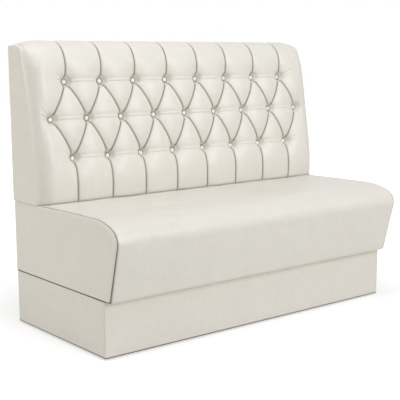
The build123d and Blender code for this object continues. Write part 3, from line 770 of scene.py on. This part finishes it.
def place_seat(i, j):
    """Points of the seat's cover, and the painted shade at each, from its columns and rows."""
    x, s = seat_x[i], seat_s[j]
    point = at(seat_line, s)
    out = np.stack([np.interp(s, seat_run, seat_out[:, k]) for k in (0, 1)], -1)
    open_top = np.clip((UNDER_BACK - point[:, 0]) / UNDER_BACK_RUN, 0, 1)
    front = np.clip((s - FOOT_HELD) / FOOT_FADE, 0, 1)
    near = SEAT_EDGE - np.abs(x)
    body = swell(near / SEAT_ROLL) * SEAT_CROWN - SEAM_SINK
    slack = sum(np.sin((x * a + s * b) * 6.283 / length + c) for a, b, c, length in waves)
    body = body + WAVE_DEPTH * slack * swell(near / WAVE_ROLL)
    nose = np.exp(-((s - NOSE_PULL_AT) / NOSE_PULL_RUN) ** 2)
    pull = NOSE_PULL * nose * np.exp(-near / NOSE_PULL_REACH) * np.clip(near / SEAM_FADE, 0, 1)
    pull = pull * np.sin(s / NOSE_PULL_STEP + near / NOSE_PULL_SLANT)
    rise = (body + pull) * front
    # Under the back the cover is drawn down, so that the back rests on it
    rise = rise * open_top - (SEAM_SINK + UNDER_BACK_SINK) * (1 - open_top)
    section = point + out * rise[:, None]
    section[:, 1] -= seat_fall(point[:, 0]) * open_top
    # Painted shade along the side seams, lighter towards the rear, and a painted shadow along
    # the back's foot
    dark = np.interp(s, [260, 330], [1.0, 0.6])
    painted_shade = dark * np.exp(-(near / SEAM_LINE) ** 2) * open_top
    rest = np.exp(-((section[:, 0] - REST_LINE) / REST_WIDTH) ** 2)
    rest *= REST_SHADE * np.clip((near - REST_FROM_SEAM) / SEAM_FADE, 0, 1)
    painted_shade_of["seat"] = np.maximum(painted_shade, rest)
    return np.stack([x, section[:, 0], section[:, 1]], -1)


bm = sheet_of(len(seat_x) - 1, len(seat_s) - 1, place_seat)
mark_painted_shade(bm, painted_shade_of["seat"])
bmesh.ops.recalc_face_normals(bm, faces=bm.faces)
if bm.faces[0].normal.z > 0:
    bmesh.ops.reverse_faces(bm, faces=bm.faces)
bmesh.ops.solidify(bm, geom=bm.faces, thickness=-COVER_THICKNESS)
piece(bm, "seat_top_cover", ivory, ("seat_cover",))


# Flat covers: leatherette over thin foam, with soft edges all round. A panel's outline is
# in two of the axes and its thickness in the third.
ACROSS_X, ACROSS_Y = (2, 0, 1), (0, 2, 1)
ROUND_STEPS = 7
GROOVE = 0.7
# Widths that a cover's edges are rounded off over: its foot, an end, its top, an end
SIDE_ROUNDS = (1.5, 2, 6, 2)
FLAT_ROUNDS = (1.5, 2, 5, 2)
# The seat's side cover is rounded off more at its front and top than at its rear and foot
SEAT_ROUND, SEAT_REAR_ROUND, SEAT_FOOT_ROUND = 10.0, 3.0, 9.0
# The painted shade up from a cover's foot and down from its top, in the gaps' shadow: how far
# each is fully dark, and where it has faded out
FOOT_GAP_SHADE = (3.4, 6.0)
TOP_GAP_SHADE = (2.0, 4.4)
GAP_SHADE = 0.95
# The back's end cover: how far it hangs below the back's base, and its pocket for the board
FACE_BOTTOM = 2.2
POCKET_FLOOR = 5.5
POCKET_FRONT = 9.0
POCKET_REAR = 4.7
# Its outermost ring, which borders the flat face, is this much smaller all round
FACE_INSET = 1.0
# The round of the end's corner has finer rings towards its face
ROUND_RINGS = 10
RING_POWER = 1.6
# Turn between two faces, in radians, from which the shading breaks at their edge
SHARP_TURN = 0.75
# The corners' painted shade stays clear of the end cover's rear edge
REAR_CLEAR = 60.0
# Height of the rear cover, up to where the pad's edge comes over the back
REAR_COVER_HEIGHT = 558.0


def turned(ring, level, order):
    """A flat ring at a level of the panel's third axis, in X, Y and Z."""
    flat = np.column_stack([ring, np.full(len(ring), level)])
    return flat[:, order]


def soft_panel(outline, widths, low, high, order):
    """A slab from its inner face at low to its outer face at high. Each edge of the outline
    is rounded off over its own width, and a small groove is left along its inner seam."""
    outline = np.array(outline, float)
    widths = np.broadcast_to(np.array(widths, float), len(outline))
    rise = 1 if high > low else -1
    depth = abs(high - low) - GROOVE
    rings = [turned(inset_line(outline, 0 * widths + GROOVE), low, order)]
    for turn in np.linspace(0, math.pi / 2, ROUND_STEPS):
        ring = inset_line(outline, widths * (1 - math.cos(turn)))
        rings.append(turned(ring, low + rise * (GROOVE + depth * math.sin(turn)), order))
    return loft_of(rings)


def shade_gap_edges(bm, low, high=1e6):
    """Paints shade along the foot and the top edge of a cover, where the gaps beside it lie in
    shadow.
    """
    foot = [low + up for up in FOOT_GAP_SHADE]
    top = [high - down for down in TOP_GAP_SHADE]
    for height in foot + top[::-1]:
        bmesh.ops.bisect_plane(bm, geom=bm.verts[:] + bm.edges[:] + bm.faces[:], dist=1e-5,
                               plane_co=(0, 0, height), plane_no=(0, 0, 1))
    mark_painted_shade(bm, [GAP_SHADE * (v.co.z < foot[0] + 0.1 or v.co.z > top[0] - 0.1)
                      for v in bm.verts])


def flat_cover(bm, name, node):
    """Finishes a flat cover of ivory leatherette, which replaces a node."""
    piece(bm, name, ivory, (node,), flat_area=4000)


def seat_side_outline():
    """The seat's side in Y and Z, from its front foot over the nose to the rear, and the
    width that each of its edges is rounded off over."""
    nose = nose_points(0, 40)
    top = [(y, BACK_BASE - float(seat_fall(y))) for y in np.linspace(-190, REAR, 20)]
    line = [(SEAT_FOOT, SEAT_BASE)] + nose + top + [(REAR, SEAT_BASE)]
    widths = [SEAT_ROUND] * (len(nose) + len(top)) + [SEAT_REAR_ROUND, SEAT_FOOT_ROUND]
    return line, widths


side_s = np.concatenate([np.linspace(0, 30, 9)[:-1], np.linspace(30, outer_turn, 40)[:-1],
                         np.linspace(outer_turn, s_end, 12)])


def back_side_ring(inward):
    """A ring round the end of the back at a distance in from its face: the rounded front
    and top, and a straight rear and foot, in distance from the rear and height."""
    front = back_section(inward, side_s, 0.0)
    front[:, 1] = np.maximum(front[:, 1], 0.0)
    front[0, 1] = -FACE_BOTTOM
    return np.vstack([front, [(0, -FACE_BOTTOM)]])


def back_side_rings(side):
    """Rings of the back's end cover: a pocket round the board, the seam, the rounded
    corner, and the flat face."""
    ring = back_side_ring(POCKET_FLOOR)
    amounts = np.full(len(ring), POCKET_FRONT)
    amounts[-2:] = POCKET_REAR
    pocket = inset_line(ring, amounts)
    pocket[:, 0] = np.maximum(pocket[:, 0], POCKET_REAR)
    pocket[:, 1] = np.maximum(pocket[:, 1], POCKET_REAR - FACE_BOTTOM)
    levels = [(POCKET_FLOOR, pocket), (SIDE_WIDTH, pocket),
              (SIDE_WIDTH, back_side_ring(SIDE_WIDTH))]
    for inward in SIDE_WIDTH * np.linspace(1, 0, ROUND_RINGS + 1)[1:] ** RING_POWER:
        levels.append((inward, back_side_ring(inward)))
    face = back_side_ring(0.0)
    levels.append((0.0, inset_line(face, np.full(len(face), FACE_INSET))))
    return [turned(np.column_stack([REAR - ring[:, 0], BACK_BASE + ring[:, 1]]),
                   side * (BACK_HALF - inward), ACROSS_X) for inward, ring in levels]


for name, side in (("left", -1), ("right", 1)):
    bm = loft_of(back_side_rings(side))
    mark_painted_shade(bm, [end_shade(BACK_HALF - abs(v.co.x), 0.0) * (v.co.y < REAR - REAR_CLEAR)
                      for v in bm.verts])
    keep_sharp(e for e in bm.edges if e.calc_face_angle(0.0) > SHARP_TURN)
    flat_cover(bm, f"back_side_cover_{name}", f"back_cover_{name}")
    bm = soft_panel(*seat_side_outline(), side * SEAT_SEAM, side * SEAT_HALF, ACROSS_X)
    shade_gap_edges(bm, SEAT_BASE)
    flat_cover(bm, f"seat_side_cover_{name}", f"seat_cover_{name}")
    side_face = [(PLINTH_FRONT + SKIN, PLINTH_BASE), (REAR - SKIN, PLINTH_BASE),
                 (REAR - SKIN, SEAT_BASE), (PLINTH_FRONT + SKIN, SEAT_BASE)]
    bm = soft_panel(side_face, SIDE_ROUNDS, side * (PLINTH_HALF - SKIN),
                    side * PLINTH_HALF, ACROSS_X)
    shade_gap_edges(bm, PLINTH_BASE, SEAT_BASE)
    flat_cover(bm, f"plinth_side_cover_{name}", f"plinth_cover_{name}")

# The covers that face the front and the rear: half their length, their foot and their top
flat_covers = (
    ("plinth_front_cover", "plinth_cover_front", PLINTH_FRONT + SKIN, PLINTH_FRONT,
     PLINTH_HALF, PLINTH_BASE, SEAT_BASE),
    ("plinth_rear_cover", "plinth_cover_rear", REAR - SKIN, REAR,
     PLINTH_HALF, PLINTH_BASE, SEAT_BASE),
    ("seat_rear_cover", "seat_cover_rear", REAR - SKIN, REAR,
     SEAT_SEAM, SEAT_BASE, BACK_BASE - SEAT_FALL),
    ("back_rear_cover", "back_cover_rear", REAR - SKIN, REAR,
     BACK_SEAM, BACK_BASE, BACK_BASE + REAR_COVER_HEIGHT),
)
for name, node, inner, face, half, low, high in flat_covers:
    outline = [(-half, low), (half, low), (half, high), (-half, high)]
    bm = soft_panel(outline, FLAT_ROUNDS, inner, face, ACROSS_Y)
    shade_gap_edges(bm, low, high)
    flat_cover(bm, name, node)


# Foam under the covers, cut from block foam with a hot wire
FOAM_ARRIS = 1.5
FOAM_INSET = 5.5
# Turn between two faces, in radians, from which their edge counts as an arris
ARRIS_TURN = 0.6


def foam_block(name, node, outline, half):
    """A foam section along the bench, with its arrises just broken."""
    bm = ring_of([(-half, y, z) for y, z in outline])
    made = bmesh.ops.extrude_face_region(bm, geom=bm.faces[:], use_keep_orig=True)["geom"]
    for vert in (v for v in made if isinstance(v, bmesh.types.BMVert)):
        vert.co.x = half
    bmesh.ops.recalc_face_normals(bm, faces=bm.faces)
    sharp = [e for e in bm.edges if len(e.link_faces) == 2 and e.calc_face_angle() > ARRIS_TURN]
    bmesh.ops.bevel(bm, geom=sharp, offset=FOAM_ARRIS, segments=2, profile=0.5, material=-1,
                    affect="EDGES")
    piece(bm, name, foam, (node,), flat_area=2000)


foam_block("seat_foam_core", "seat_foam",
           [(-263.5, 206), (seat_front(FOAM_INSET, 206), 206)] + nose_points(FOAM_INSET, 20)
           + [(149, 471.5), (149, 418), (-305, 418), (-305, 406), (seat_front(27, 405), 405)],
           676.5)
foam_block("back_foam_core", "back_foam",
           [(REAR - BOARD_FORWARD - 0.5, 478), (REAR - BOARD_FORWARD - 9.5, 478),
            (REAR - 80, BACK_BASE + 539), (REAR - 6, BACK_BASE + 539),
            (REAR - 6, BACK_BASE + 530.5),
            (REAR - BOARD_FORWARD + LEAN * 530.5 - 0.5, BACK_BASE + 530.5)],
           679.5)


# Buttons: a domed head wrapped in leatherette, gathered under at its rim

BUTTON_PROFILE = [(0.02, 6.7), (1.8, 6.62), (3.6, 6.3), (5.4, 5.65), (7.0, 4.6), (8.2, 3.2),
                  (8.9, 1.7), (8.8, 0.5), (7.9, 0.0), (0.02, 0.0)]
BUTTON_STEPS = 28
# Gathers round the rim, up to a height on the head, as a share of its radius
GATHERS = 14
GATHER_HEIGHT = 3.2
GATHER_DEPTH = 0.012
# A button's axis is turned from upright to square to the leaning board
button_turn = math.pi / 2 - math.atan(LEAN)
turn_cos, turn_sin = math.cos(button_turn), math.sin(button_turn)
for row, (height, forward, count) in ROWS.items():
    bm = bmesh.new()
    for index in range(count):
        x = HALF_PITCH * (2 * index - (count - 1))
        start = [bm.verts.new((r, 0, h)) for r, h in BUTTON_PROFILE]
        line = [bm.edges.new(pair) for pair in zip(start, start[1:])]
        bmesh.ops.spin(bm, geom=start + line, cent=(0, 0, 0), axis=(0, 0, 1),
                       angle=2 * math.pi, steps=BUTTON_STEPS, use_merge=True)
        for vert in [v for v in bm.verts if not v.tag]:
            vert.tag = True
            angle = math.atan2(vert.co.y, vert.co.x)
            fold = math.sin(GATHERS * angle + index) * max(0.0, 1 - vert.co.z / GATHER_HEIGHT)
            out = 1 + GATHER_DEPTH * fold
            px, py, pz = vert.co.x * out, vert.co.y * out, vert.co.z
            vert.co = (
                x + px,
                REAR - BOARD_FORWARD + LEAN * height - forward + py * turn_cos - pz * turn_sin,
                BACK_BASE + height + py * turn_sin + pz * turn_cos,
            )
    bmesh.ops.remove_doubles(bm, verts=bm.verts, dist=0.05)
    piece(bm, f"button_heads_{row}_row", pearl,
          (f"buttons_{row}_row",))


# Floor, light and camera, in metres


def seen_directly(tree):
    """1 for what the camera sees, itself or mirrored in a glossy surface, and else 0."""
    path = add(tree, "LightPath")
    return add(tree, "Math", {0: path.outputs["Is Camera Ray"],
                              1: path.outputs["Is Glossy Ray"]},
               operation="MAXIMUM").outputs[0]


bm = bmesh.new()
bmesh.ops.create_grid(bm, x_segments=1, y_segments=1, size=14)
mesh = bpy.data.meshes.new("studio_floor")
bm.to_mesh(mesh)
bm.free()
floor = bpy.data.objects.new("studio_floor", mesh)
bpy.context.scene.collection.objects.link(floor)

# Studio floor: pale grey paint that the camera sees white. Less than half of it glows near
# the bench, so that the plinth's shadow stays, and nearly all of it from 1.6 m out
paint, tree, shader, place = material("white_studio_floor")
seen = seen_directly(tree)
shade = add(tree, "Mix", {0: seen, 6: linear("D8D8D4"), 7: linear("FFFFFF")},
            data_type="RGBA")
tree.links.new(shade.outputs[2], shader.inputs["Base Color"])
shader.inputs["Roughness"].default_value = 0.9
glow = add(tree, "Emission", {"Color": (1, 1, 1, 1), "Strength": 1.25})
reach = add(tree, "VectorMath", {0: place}, operation="LENGTH")
far = add(tree, "MapRange", {0: reach.outputs["Value"], 1: 0.75, 2: 1.6, 3: 0.42, 4: 0.97})
part = add(tree, "Math", {0: seen, 1: far.outputs[0]}, operation="MULTIPLY")
both = add(tree, "MixShader", {0: part.outputs[0], 1: shader.outputs[0],
                               2: glow.outputs[0]})
tree.links.new(both.outputs[0], tree.nodes["Material Output"].inputs[0])
mesh.materials.append(paint)

world = bpy.data.worlds.new("studio")
bpy.context.scene.world = world
world.use_nodes = True
tree = world.node_tree
# The room lights the bench softly, and the camera sees it white
room = tree.nodes["Background"]
room.inputs["Color"].default_value = (0.98, 0.99, 1.0, 1)
room.inputs["Strength"].default_value = 0.4
backdrop = add(tree, "Background", {"Color": (1, 1, 1, 1), "Strength": 1.0})
both = add(tree, "MixShader", {0: seen_directly(tree), 1: room.outputs[0],
                               2: backdrop.outputs[0]})
tree.links.new(both.outputs[0], tree.nodes["World Output"].inputs[0])


def soft_box(name, place, target, size, power, tint):
    """A square studio lamp at a place, facing a target."""
    lamp = bpy.data.lights.new(name, "AREA")
    lamp.color = tint
    lamp.shape = "SQUARE"
    lamp.size = size
    lamp.energy = power
    made = bpy.data.objects.new(name, lamp)
    bpy.context.scene.collection.objects.link(made)
    made.location = place
    aim = Vector(target) - Vector(place)
    made.rotation_euler = aim.to_track_quat("-Z", "Y").to_euler()


# A large key from the front, a lamp above and a warmer one off the left end
soft_box("key_lamp", (0.9, -4.9, 2.6), (0.0, -0.2, 0.4), 3.0, 126, (0.995, 0.99, 0.995))
soft_box("top_lamp", (-0.7, -0.7, 3.4), (-0.3, -0.1, 0.5), 2.2, 36, (0.98, 0.99, 1.02))
soft_box("left_fill_lamp", (-4.4, 1.4, 1.8), (-0.7, 0.0, 0.6), 2.0, 50, (1.0, 0.96, 0.88))

# The camera stands where the photograph was taken from, at the bench's front left
camera = bpy.data.objects.new("camera", bpy.data.cameras.new("camera"))
bpy.context.scene.collection.objects.link(camera)
camera.location = (-2.3263, -2.7597, 1.0235)
camera.rotation_euler = (math.radians(90 - 10.704), 0, math.radians(-39.237))
camera.data.lens = 83.05
camera.data.sensor_width = 36
camera.data.shift_y = 0.0654
bpy.context.scene.camera = camera
bpy.context.scene.view_settings.view_transform = "Standard"
